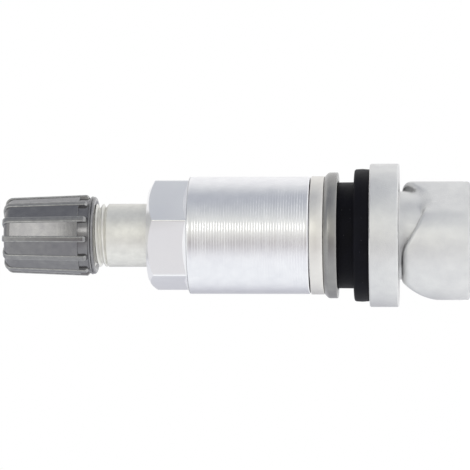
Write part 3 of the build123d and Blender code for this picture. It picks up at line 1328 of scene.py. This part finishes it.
@dataclass
class RibbedCap:
    """The moulded cap: a body with a beaded rim, and ribs down its side.

    Attributes:
        nodes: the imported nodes.
        wardrobe: the materials.
        bore: the radius of the bore, in millimetres.
        ceiling: the height of the bore's end.
        mouth_chamfer: the chamfer at the bore's mouth.
        rim_radius: the rim's radius.
        rim_height: its height.
        rim_insets: how far the rim's foot, its bead and the groove over it lie inside that radius.
        rim_steps: the heights of that groove and of the rim's upper band above the bead.
        collar_rise: the height over which the rim falls in to the collar.
        land_rise: the height over which the collar widens to the lands.
        collar_radius: the radius between the rim and the lands.
        land_step: the height at which the lands start, above the mouth of the cap.
        land_base_radius: the radius of the lands at their lower end.
        land_top_radius: their radius at the crown.
        body_setback: how far the body's crown lies below the ribs' ends.
        crown_round: the radius of the crown's edge.
        rib_count: the number of ribs.
        rib_width: a rib's width.
        rib_start: the height at which the ribs start, above the mouth of the cap.
        rib_base_radius: the ribs' radius at their lower end.
        rib_top_radius: their radius at the crown.
        rib_inner_radius: how far in the ribs run on the crown.
        rib_root_radius: how far in they run inside the body.
        rib_chamfer: the chamfer at their lower end.
        rib_foot_round: the radius of that chamfer's upper edge.
        rib_depths: how far they reach down into the body, on the crown and at the side.
        rib_turn: the direction of the first rib, in degrees.
        rib_edge: the radius of a rib's edges.
        facet_setback: how far the middle of each flat land lies inside the lands' radius.
        body_rounds: the radius of each rounded corner of the body's section, but the crown's.
    """

    nodes: dict[str, bpy.types.Object]
    wardrobe: Wardrobe
    bore: float = 3.9
    ceiling: float = 55.13
    mouth_chamfer: float = 0.35
    rim_radius: float = 4.76
    rim_height: float = 0.62
    rim_insets: tuple[float, float, float] = (0.1, 0.04, 0.13)
    rim_steps: tuple[float, float] = (0.05, 0.12)
    collar_rise: float = 0.06
    land_rise: float = 0.02
    collar_radius: float = 4.52
    land_step: float = 1.9
    land_base_radius: float = 4.74
    land_top_radius: float = 4.38
    body_setback: float = 0.18
    crown_round: float = 0.85
    rib_count: int = 12
    rib_width: float = 0.74
    rib_start: float = 0.78
    rib_base_radius: float = 4.94
    rib_top_radius: float = 4.55
    rib_inner_radius: float = 2.94
    rib_root_radius: float = 4.2
    rib_chamfer: float = 0.35
    rib_foot_round: float = 0.12
    rib_depths: tuple[float, float] = (0.4, 1.3)
    rib_turn: float = -95.7
    rib_edge: float = 0.13
    facet_setback: float = 0.03
    body_rounds: dict[int, float] = field(
        default_factory=lambda: {4: 0.24, 5: 0.04, 7: 0.05, 8: 0.1, 9: 0.06, 11: 0.05}
    )

    def build_body(self, base: float, top: float) -> bmesh.types.BMesh:
        """Build the body between the ribs.

        Args:
            base: the height of the cap's mouth, in millimetres.
            top: the height of the ribs' upper ends.

        Returns:
            The body.
        """
        body_top = top - self.body_setback
        bead = base + self.rim_height / 2
        foot_inset, bead_inset, groove_inset = self.rim_insets
        groove_rise, band_rise = self.rim_steps
        body = TurnedForm(
            corners=[
                (0.0, self.ceiling),
                (self.bore, self.ceiling),
                (self.bore, base + self.mouth_chamfer),
                (self.bore + self.mouth_chamfer, base),
                (self.rim_radius - foot_inset, base),
                (self.rim_radius - bead_inset, bead),
                (self.rim_radius - groove_inset, bead + groove_rise),
                (self.rim_radius, bead + band_rise),
                (self.rim_radius, base + self.rim_height),
                (self.collar_radius, base + self.rim_height + self.collar_rise),
                (self.collar_radius, base + self.land_step - self.land_rise),
                (self.land_base_radius, base + self.land_step),
                (self.land_top_radius, body_top),
                (0.0, body_top),
            ],
            rounds={**self.body_rounds, 12: self.crown_round},
            closed=False,
            steps=168,
            segments=6,
        ).build()
        self.flatten_lands(body, base + self.land_step - SLACK)
        return body

    def flatten_lands(self, body: bmesh.types.BMesh, foot: float) -> None:
        """Turn the round lands between the ribs into flat ones.

        Args:
            body: the cap's body.
            foot: the height at which the lands start, in millimetres.
        """
        share = FULL_TURN / self.rib_count
        first = math.radians(self.rib_turn)
        for vert in body.verts:
            reach = math.hypot(vert.co.x, vert.co.y)
            if vert.co.z < foot or reach < self.bore + 0.1:
                continue
            from_rib = (math.atan2(vert.co.y, vert.co.x) - first) % share
            flat = (reach - self.facet_setback) / math.cos(from_rib - share / 2)
            vert.co.x *= flat / reach
            vert.co.y *= flat / reach

    def build_ribs(self, base: float, top: float) -> bmesh.types.BMesh:
        """Build the ring of ribs.

        Args:
            base: the height of the cap's mouth, in millimetres.
            top: the height of the ribs' upper ends.

        Returns:
            The ribs.
        """
        foot = base + self.rib_start
        crown_depth, side_depth = self.rib_depths
        ribs = section_wire(
            [
                (self.rib_root_radius, foot),
                (self.rib_base_radius - self.rib_chamfer, foot),
                (self.rib_base_radius, foot + self.rib_chamfer),
                (self.rib_top_radius, top),
                (self.rib_inner_radius, top),
                (self.rib_inner_radius, top - crown_depth),
                (self.rib_root_radius, top - side_depth),
            ],
            closed=True,
        )
        round_corners(ribs, {3: self.crown_round, 2: self.rib_foot_round}, segments=6)
        side = bmesh.ops.contextual_create(ribs, geom=ribs.edges[:])["faces"]
        bmesh.ops.translate(ribs, vec=(0, -self.rib_width / 2, 0), verts=ribs.verts)
        grown = bmesh.ops.extrude_face_region(ribs, geom=side, use_keep_orig=True)["geom"]
        far = [item for item in grown if isinstance(item, bmesh.types.BMVert)]
        bmesh.ops.translate(ribs, vec=(0, self.rib_width, 0), verts=far)
        bmesh.ops.recalc_face_normals(ribs, faces=ribs.faces)
        outline = [edge for edge in ribs.edges if abs(edge.verts[0].co.y - edge.verts[1].co.y) < MERGE]
        # The rounded rib edges take the lighter rib-edge finish: partly rubbed plastic and partly a painted
        # highlight.
        for face in bevel(ribs, outline, self.rib_edge, segments=3, clamp=True):
            face.material_index = 1
        bmesh.ops.rotate(
            ribs,
            cent=(0, 0, 0),
            matrix=Matrix.Rotation(math.radians(self.rib_turn), 3, "Z"),
            verts=ribs.verts,
        )
        others = self.rib_count - 1
        spin(ribs, FULL_TURN * others / self.rib_count, others, copies=True)
        return ribs

    def build(self) -> None:
        """Build and dress the cap and the seal in its crown."""
        low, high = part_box("cap")
        cap = self.build_body(low.z / MM, high.z / MM)
        add_mesh(cap, self.build_ribs(low.z / MM, high.z / MM))
        piece = finish_piece(cap, "ribbed_cap", Body.CAP, self.wardrobe, (PLASTIC, RUBBED_HIGHLIT_CAP))
        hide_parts("cap")
        dress_node(self.nodes["cap_seal"], self.wardrobe[RUBBER])


@dataclass
class ValveCore:
    """The valve core inside the stem: plug, barrel, gasket, pin, plunger and spring.

    Attributes:
        nodes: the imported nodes.
        wardrobe: the materials.
        brass: the nodes made of brass.
        steel: the nodes made of steel.
        rubber: the nodes made of rubber.
    """

    nodes: dict[str, bpy.types.Object]
    wardrobe: Wardrobe
    brass: tuple[str, ...] = ("core_plug", "core_barrel", "core_plunger")
    steel: tuple[str, ...] = ("core_pin", "core_spring")
    rubber: tuple[str, ...] = ("core_gasket", "core_plunger_seal")

    def build(self) -> None:
        """Dress every node of the core."""
        for finish, names in ((BRASS, self.brass), (SPRING, self.steel), (RUBBER, self.rubber)):
            for name in names:
                dress_node(self.nodes[name], self.wardrobe[finish])


# A light's colours by their angle, in degrees.
Levels = list[tuple[float, tuple[float, float, float]]]


@dataclass
class Studio:
    """The pale floor, the soft light and the camera.

    Attributes:
        distance: from the camera to the stem's axis, in millimetres.
        camera_height: the camera's height above the floor.
        aim_height: the height on the axis that the camera looks at.
        aim_drop: how far above the axis the picture's middle lies.
        pixel_size: the size of a pixel at the axis, in millimetres.
        sensor: the width of the camera's sensor.
        clip: the nearest and furthest thing that it sees, in metres.
        floor_size: the floor's side.
        floor_drop: how far the floor lies below the stem.
        floor_grey: the floor's colour.
        floor_roughness: its roughness.
        floor_glow: its own light, towards the camera and in reflections.
        blend_range: how far towards the stem's ends the tent's light turns into that of its ends.
        lamp_size: the lamp's width and height.
        lamp_power: its power, in watts.
        lamp_colour: its tint.
        lamp_place: where it hangs.
        lamp_target: the place that it points at.
    """

    distance: float = 350.0
    camera_height: float = 3.5
    aim_height: float = 28.48
    aim_drop: float = 0.04
    pixel_size: float = 0.1216
    sensor: float = 36.0
    clip: tuple[float, float] = (0.005, 10.0)
    floor_size: float = 220.0
    floor_drop: float = 0.02
    floor_grey: float = 0.86
    floor_roughness: float = 0.8
    floor_glow: float = 0.4
    blend_range: tuple[float, float] = (0.10, 0.36)
    lamp_size: tuple[float, float] = (84.0, 110.0)
    lamp_power: float = 0.046
    lamp_colour: tuple[float, float, float] = (1.0, 0.99, 0.93)
    lamp_place: tuple[float, float, float] = (108.0, -366.0, 152.0)
    lamp_target: tuple[float, float, float] = (0.0, 0.0, 28.0)

    def build_floor(self) -> None:
        """Build the pale floor, which keeps the shadow and shows white."""
        mesh = bmesh.new()
        bmesh.ops.create_grid(mesh, x_segments=1, y_segments=1, size=self.floor_size / 2)
        bmesh.ops.translate(mesh, vec=(0, 0, -self.floor_drop), verts=mesh.verts)
        bmesh.ops.scale(mesh, vec=(MM, MM, MM), verts=mesh.verts)
        data = bpy.data.meshes.new("floor")
        mesh.to_mesh(data)
        mesh.free()
        floor = bpy.data.objects.new("floor", data)
        bpy.context.scene.collection.objects.link(floor)
        material = bpy.data.materials.new("pale_floor")
        material.use_nodes = True
        graph = Graph(material.node_tree)
        shader = material.node_tree.nodes["Principled BSDF"].inputs
        shader["Base Color"].default_value = (self.floor_grey,) * 3 + (1.0,)
        shader["Roughness"].default_value = self.floor_roughness
        shader["Emission Color"].default_value = WHITE
        light = graph.node("ShaderNodeLightPath").outputs
        mirrored = graph.math("MAXIMUM", light["Is Glossy Ray"], light["Is Transmission Ray"])
        seen = graph.math("MAXIMUM", light["Is Camera Ray"], mirrored)
        graph.join(graph.math("MULTIPLY", seen, self.floor_glow), shader["Emission Strength"])
        data.materials.append(material)

    def build_world(self) -> None:
        """Build the white tent round the object, with a dark band under the lens and a grey one over it."""
        world = bpy.data.worlds.new("tent")
        bpy.context.scene.world = world
        world.use_nodes = True
        tree = world.node_tree
        tree.nodes.clear()
        graph = Graph(tree)
        towards = graph.node("ShaderNodeTexCoord").outputs["Generated"]
        parts = graph.node("ShaderNodeSeparateXYZ", {0: towards}).outputs
        turn = graph.math("ARCTAN2", parts[0], graph.math("MULTIPLY", parts[1], -1.0))
        share = graph.math("MULTIPLY_ADD", turn, 1 / FULL_TURN, 0.5)
        around = self.build_ramp(graph, share, self.tent_levels())
        ends = self.build_ramp(graph, share, self.end_levels())
        start, end = self.blend_range
        feeds = {"Value": graph.math("ABSOLUTE", parts[2]), "From Min": start, "From Max": end}
        sideways = graph.node("ShaderNodeMapRange", feeds, interpolation_type="SMOOTHSTEP").outputs[0]
        tent = graph.blend(sideways, around, ends)
        seen = graph.node("ShaderNodeLightPath").outputs["Is Camera Ray"]
        background = graph.node("ShaderNodeBackground", {"Color": graph.blend(seen, tent, WHITE)})
        graph.node("ShaderNodeOutputWorld", {"Surface": background.outputs[0]})

    def build_ramp(
        self, graph: Graph, share: bpy.types.NodeSocket, levels: Levels
    ) -> bpy.types.NodeSocket:
        """Build a colour ramp round the stem's axis.

        Args:
            graph: the world's graph.
            share: the direction's angle, as a share of a turn.
            levels: the ramp's colours by angle.

        Returns:
            The ramp's colour.
        """
        ramp = graph.node("ShaderNodeValToRGB", {0: share})
        ramp.color_ramp.interpolation = "B_SPLINE"
        stops = ramp.color_ramp.elements
        while len(stops) < len(levels):
            stops.new(0.5)
        for stop, (angle, colour) in zip(stops, levels):
            stop.position = angle / 360 + 0.5
            stop.color = colour + (1.0,)
        return ramp.outputs[0]

    def end_levels(self) -> Levels:
        """Give the light towards the stem's two ends: the grey band over the lens, but none under it."""
        return [
            (-180.0, (0.86, 0.86, 0.88)),
            (-132.0, (0.68, 0.69, 0.74)),
            (-106.0, (0.96, 0.98, 1.00)),
            (-60.0, (0.96, 0.98, 1.00)),
            (-10.0, (1.00, 1.00, 0.97)),
            (30.0, (1.00, 1.00, 0.96)),
            (46.0, (0.65, 0.67, 0.68)),
            (76.0, (0.43, 0.45, 0.51)),
            (98.0, (0.60, 0.62, 0.64)),
            (124.0, (0.96, 0.96, 0.96)),
            (180.0, (0.96, 0.96, 0.96)),
        ]

    def tent_levels(self) -> Levels:
        """Give the tent's light by the angle from the lens up towards the top of the picture."""
        return [
            (-180.0, (0.82, 0.82, 0.85)),
            (-154.0, (0.48, 0.48, 0.52)),
            (-132.0, (0.66, 0.67, 0.72)),
            (-108.0, (0.96, 0.98, 1.00)),
            (-88.0, (0.96, 0.98, 1.00)),
            (-56.0, (0.96, 0.98, 1.00)),
            (-38.0, (0.91, 0.91, 0.94)),
            (-16.0, (0.32, 0.28, 0.29)),
            (0.0, (0.74, 0.73, 0.69)),
            (14.0, (0.84, 0.84, 0.77)),
            (42.0, (0.65, 0.67, 0.68)),
            (78.0, (0.42, 0.44, 0.50)),
            (98.0, (0.60, 0.62, 0.64)),
            (122.0, (0.98, 0.98, 0.98)),
            (150.0, (1.00, 1.00, 1.00)),
            (180.0, (0.96, 0.96, 0.96)),
        ]

    def build_lamp(self) -> None:
        """Build the soft lamp over the camera's shoulder."""
        width, height = self.lamp_size
        data = bpy.data.lights.new("soft_lamp", "AREA")
        data.shape = "RECTANGLE"
        data.size = width * MM
        data.size_y = height * MM
        data.energy = self.lamp_power
        data.color = self.lamp_colour
        lamp = bpy.data.objects.new("soft_lamp", data)
        bpy.context.scene.collection.objects.link(lamp)
        place = Vector(self.lamp_place) * MM
        target = Vector(self.lamp_target) * MM
        lamp.location = place
        lamp.rotation_euler = (target - place).to_track_quat("-Z", "Y").to_euler()

    def build_camera(self) -> None:
        """Build the camera at the photo's angle: the stem lies across the picture, its cap to the left."""
        eye = Vector((0, -self.distance, self.camera_height))
        aim = Vector((self.aim_drop, 0, self.aim_height))
        back = (eye - aim).normalized()
        up = Vector((1, 0, 0))
        right = up.cross(back).normalized()
        up = back.cross(right).normalized()
        turn = Matrix((right, up, back)).transposed()
        data = bpy.data.cameras.new("camera")
        data.sensor_width = self.sensor
        data.lens = self.sensor * (aim - eye).length / self.pixel_size / IMAGE_SIDE
        data.clip_start, data.clip_end = self.clip
        camera = bpy.data.objects.new("camera", data)
        bpy.context.scene.collection.objects.link(camera)
        camera.matrix_world = Matrix.Translation(eye * MM) @ turn.to_4x4()
        bpy.context.scene.camera = camera

    def build(self) -> None:
        """Build the whole studio."""
        self.build_floor()
        self.build_world()
        self.build_lamp()
        self.build_camera()
        bpy.context.scene.view_settings.view_transform = "Standard"


def main() -> None:
    """Build the studio and every sub-assembly."""
    logging.basicConfig(level=logging.INFO, format="%(message)s")
    for item in list(bpy.data.objects):
        bpy.data.objects.remove(item)
    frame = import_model()
    nodes = frame["nodes"]
    wardrobe = Wardrobe()
    parts = [
        Studio(),
        CastStem(nodes, wardrobe),
        SealStack(wardrobe),
        ClampNut(nodes, wardrobe),
        RibbedCap(nodes, wardrobe),
        ValveCore(nodes, wardrobe),
    ]
    for part in parts:
        part.build()
        LOG.info("built %s", type(part).__name__)


if __name__ == "__main__":
    main()
